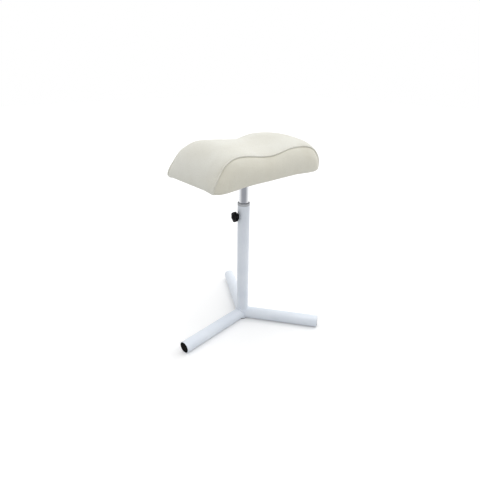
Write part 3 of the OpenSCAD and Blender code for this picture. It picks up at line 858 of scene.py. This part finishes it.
def makeDustCloth():
    form = clothForm
    vertices, faces = [], []
    for i in range(form["around"]):
        turn = 2 * math.pi * i / form["around"]
        edge = clothEdge(turn)
        for j in range(form["rows"] + 1):
            share = 1 - (1 - j / form["rows"]) ** form["rowShape"]
            reach = form["hole"] + (edge - form["hole"]) * share
            x, y = reach * math.cos(turn), reach * math.sin(turn)
            free = smoothStep(0, form["edgeHold"], edge - reach)
            free *= smoothStep(0, form["holeHold"], reach - form["hole"])
            slack = noiseAt(x / form["sagSize"], y / form["sagSize"], form["sagSeed"])
            drop = form["sag"] * free * (form["sagMiddle"] + form["sagSpread"] * slack)
            vertices.append(Vector((mm(x), mm(y), mm(form["top"] - form["clearance"] - max(0, drop)))))
    rows = form["rows"] + 1
    for i in range(form["around"]):
        here, beside = i * rows, (i + 1) % form["around"] * rows
        for j in range(form["rows"]):
            faces.append([here + j, beside + j, beside + j + 1, here + j + 1])
    obj = meshObject("dust_cloth_sheet", vertices, faces)
    outwardFaces(obj)
    if obj.data.polygons[0].normal.z < 0:  # an open sheet has no outside, so its upper side is chosen here
        editWhole(obj, bpy.ops.mesh.flip_normals)
    wall = addModifier(obj, "SOLIDIFY")
    wall.thickness = mm(form["thickness"] - 2 * form["clearance"])
    wall.offset = -1
    applyModifiers(obj)
    smoothFaces(obj, form["creaseAngle"])
    return obj


print("dust cloth")
cloth = makeDustCloth()
cloth.data.materials.append(spunbond)
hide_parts("dust_cloth")
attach(cloth, "seat")


# Sizes of the base that the weld beads and the leg plugs share. The bearings are those of the part's source
baseForm = {
    "column": frameReach((1, 0, 0), "column_tube"), "legLevel": frameReach((0, 0, 1), "front_leg") / 2,
    "bearings": {"front": -52.5, "rear": 61, "left": 185.5},
}


# Weld beads where the legs meet the column, one for each leg, under the paint
beadForm = {
    "size": 2.5, "proud": 0.5, "lift": 0.4, "overlap": 2, "around": 300, "sides": 14, "creaseAngle": 50,
    "ripplePitch": 2.7, "ripple": 0.16, "wander": 0.8, "wanderTurns": 9,
    "uneven": 0.05, "unevenTurns": 14, "unevenSeed": 3,
}


def makeWeldBead(number, bearing, lastGap, nextGap):
    # The bead is cut off halfway to the legs beside it, then follows the leg's crossing with the column
    form = beadForm
    column, radius = baseForm["column"], mm(baseForm["column"] + form["proud"])
    deselectAll()
    bpy.ops.mesh.primitive_torus_add(
        major_radius=radius, minor_radius=mm(form["size"]),
        major_segments=form["around"], minor_segments=form["sides"],
    )
    obj = bpy.context.object
    obj.name = obj.data.name = "weld_bead_" + str(number)
    for side, gap in ((1, nextGap), (-1, lastGap)):
        turn = side * math.radians(gap / 2 + form["overlap"])
        editWhole(obj, bpy.ops.mesh.bisect, use_fill=True, clear_outer=True,
                  plane_co=(0, 0, 0), plane_no=(-side * math.sin(turn), side * math.cos(turn), 0))
    for vertex in obj.data.vertices:
        turn = math.atan2(vertex.co.y, vertex.co.x)
        ring = Vector((math.cos(turn), math.sin(turn), 0)) * radius
        run = column * turn / math.cos(turn / 2)
        wander = form["wander"] * noiseAt(turn * form["wanderTurns"], number, 0)
        wave = abs(math.sin(math.pi * run / form["ripplePitch"] + wander))
        uneven = form["uneven"] * noiseAt(turn * form["unevenTurns"], number, form["unevenSeed"])
        offset = (vertex.co - ring) * (1 - form["ripple"] * (1 - wave) + uneven)
        rise = baseForm["legLevel"] + column * math.cos(turn) + form["lift"]
        vertex.co = ring + offset + Vector((0, 0, mm(rise)))
    obj.data.transform(Matrix.Rotation(math.radians(bearing), 4, "Z"))
    outwardFaces(obj)
    smoothFaces(obj, form["creaseAngle"])
    obj.data.materials.append(paint)
    return obj


print("weld beads")
bearings = list(baseForm["bearings"].values())
for number, bearing in enumerate(bearings):
    lastGap = (bearing - bearings[number - 1]) % 360
    nextGap = (bearings[(number + 1) % len(bearings)] - bearing) % 360
    bead = makeWeldBead(number, bearing, lastGap, nextGap)
    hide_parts("hub_weld")
    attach(bead, "base")


# Leg plugs. In the photograph they sit almost flush, with the tube's white rim around them
plugForm = {"bore": 14.4, "head": 0.6, "merge": 0.01, "slack": 0.05, "creaseAngle": 40}


def makeFlushPlug(label, bearing):
    # A copy of the frame's plug, with its head pressed thin and narrowed to the tube's bore
    form = plugForm
    mesh = nodes[label + "_leg_plug"].data.copy()
    obj = bpy.data.objects.new("flush_plug_" + label, mesh)
    scene.collection.objects.link(obj)
    editWhole(obj, bpy.ops.mesh.remove_doubles, threshold=mm(form["merge"]))
    turn = math.radians(bearing)
    outward = Vector((math.cos(turn), math.sin(turn), 0))
    sideways = Vector((-math.sin(turn), math.cos(turn), 0))
    tubeEnd = frameReach(outward, label + "_leg")
    pressed = form["head"] / (frameReach(outward, label + "_leg_plug") - tubeEnd)
    for vertex in mesh.vertices:
        beyond = vertex.co.dot(outward) * 1000 - tubeEnd
        if beyond < -form["slack"]:
            continue
        across = vertex.co.dot(sideways) * 1000
        up = vertex.co.z * 1000 - baseForm["legLevel"]
        share = min(1, form["bore"] / max(form["merge"], math.hypot(across, up)))
        along = tubeEnd + beyond * pressed
        level = baseForm["legLevel"] + up * share
        vertex.co = outward * mm(along) + sideways * mm(across * share) + Vector((0, 0, mm(level)))
    outwardFaces(obj)
    smoothFaces(obj, form["creaseAngle"])
    mesh.materials.clear()
    mesh.materials.append(plugPlastic)
    return obj


print("leg plugs")
for label, bearing in baseForm["bearings"].items():
    plug = makeFlushPlug(label, bearing)
    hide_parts(label + "_leg_plug")
    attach(plug, "base")


# Camera, at the photograph's place and angle. Focal length and picture are in pixels, places in metres
cameraFit = {
    "focal": 366.4, "picture": 480, "sensor": 36, "elevation": 25.39, "roll": 0.58, "turn": -41.0,
    "distance": 0.9871, "aimX": -0.00861, "aimZ": 0.2495, "near": 0.05, "far": 100,
}


def placeCamera():
    fit = cameraFit
    rise, roll = math.radians(fit["elevation"]), math.radians(fit["roll"])
    forward = Vector((0, math.cos(rise), -math.sin(rise)))
    level = Vector((1, 0, 0))
    upright = level.cross(forward)
    right = level * math.cos(roll) + upright * math.sin(roll)
    up = upright * math.cos(roll) - level * math.sin(roll)
    place = Vector((fit["aimX"], 0, fit["aimZ"])) - forward * fit["distance"]
    turn = Matrix.Rotation(math.radians(fit["turn"]), 3, "Z")
    right, up, forward, place = (turn @ direction for direction in (right, up, forward, place))
    deselectAll()
    bpy.ops.object.camera_add()
    camera = bpy.context.object
    camera.name = "photo_camera"
    camera.data.sensor_width = fit["sensor"]
    camera.data.lens = fit["focal"] * fit["sensor"] / fit["picture"]
    camera.data.dof.use_dof = False
    camera.data.clip_start, camera.data.clip_end = fit["near"], fit["far"]
    axes = Matrix((right, up, -forward)).transposed().to_4x4()
    camera.matrix_world = Matrix.Translation(place) @ axes
    scene.camera = camera


# Studio: white floor that keeps the shadow, even sky, a broad high key and a low lamp that only fills
studio = {
    "floor": "#D6D7D8", "floorSize": 14, "white": "#FFFFFF", "sky": 0.59, "lift": 0.09,
    "key": {"strength": 1.32, "turn": 60, "rise": 84, "spread": 60, "colour": (0.99, 0.996, 1.0)},
    "rim": {"strength": 0.75, "turn": 80, "rise": 22, "spread": 60, "colour": (0.98, 0.99, 1.0)},
}


def seenDirectly(tree):
    # 1 where the background is seen, by the camera or in a gloss, and 0 where it only lights the stool
    light = addNode(tree, "ShaderNodeLightPath")
    seen = light.outputs["Is Camera Ray"]
    for ray in ("Is Glossy Ray", "Is Transmission Ray"):
        seen = addNode(tree, "ShaderNodeMath", {"operation": "MAXIMUM"}, {0: seen, 1: light.outputs[ray]})
    return seen


def makeFloor():
    deselectAll()
    bpy.ops.mesh.primitive_plane_add(size=studio["floorSize"], location=(0, 0, 0))
    floor = bpy.context.object
    floor.name = "floor"
    white = toLinear(studio["white"])
    material, tree, _ = startMaterial("matt_white_studio_floor")
    seen = seenDirectly(tree)
    shade = addNode(tree, "ShaderNodeMix", {
        "data_type": "RGBA", 6: toLinear(studio["floor"]), 7: white,
    }, {0: seen})
    surface = addNode(tree, "ShaderNodeBsdfDiffuse", links={"Color": shade.outputs[2]})
    lift = addNode(tree, "ShaderNodeMath", {"operation": "MULTIPLY", 1: studio["lift"]}, {0: seen})
    glow = addNode(tree, "ShaderNodeEmission", {"Color": white}, {"Strength": lift})
    both = addNode(tree, "ShaderNodeAddShader", links={0: surface, 1: glow})
    addNode(tree, "ShaderNodeOutputMaterial", links={"Surface": both})
    floor.data.materials.append(material)


def makeSky():
    world = bpy.data.worlds.new("soft_studio_sky")
    scene.world = world
    world.use_nodes = True
    tree = world.node_tree
    tree.nodes.clear()
    strength = addNode(tree, "ShaderNodeMapRange", {"To Min": studio["sky"]}, {"Value": seenDirectly(tree)})
    sky = addNode(tree, "ShaderNodeBackground", {
        "Color": toLinear(studio["white"]),
    }, {"Strength": strength})
    addNode(tree, "ShaderNodeOutputWorld", links={"Surface": sky})


def makeLamp(name, form):
    deselectAll()
    bpy.ops.object.light_add(type="SUN")
    lamp = bpy.context.object
    lamp.name = name + "_light"
    lamp.data.energy = form["strength"]
    lamp.data.angle = math.radians(form["spread"])
    lamp.data.color = form["colour"]
    turn, rise = math.radians(form["turn"]), math.radians(form["rise"])
    towards = Vector((math.sin(turn) * math.cos(rise), -math.cos(turn) * math.cos(rise), math.sin(rise)))
    lamp.rotation_mode = "QUATERNION"
    lamp.rotation_quaternion = towards.to_track_quat("Z", "Y")
    lamp.visible_glossy = name == "key"  # the low lamp leaves no glare on the chrome


print("camera and studio")
scene.view_settings.view_transform = "Standard"
placeCamera()
makeFloor()
makeSky()
for name in ("key", "rim"):
    makeLamp(name, studio[name])
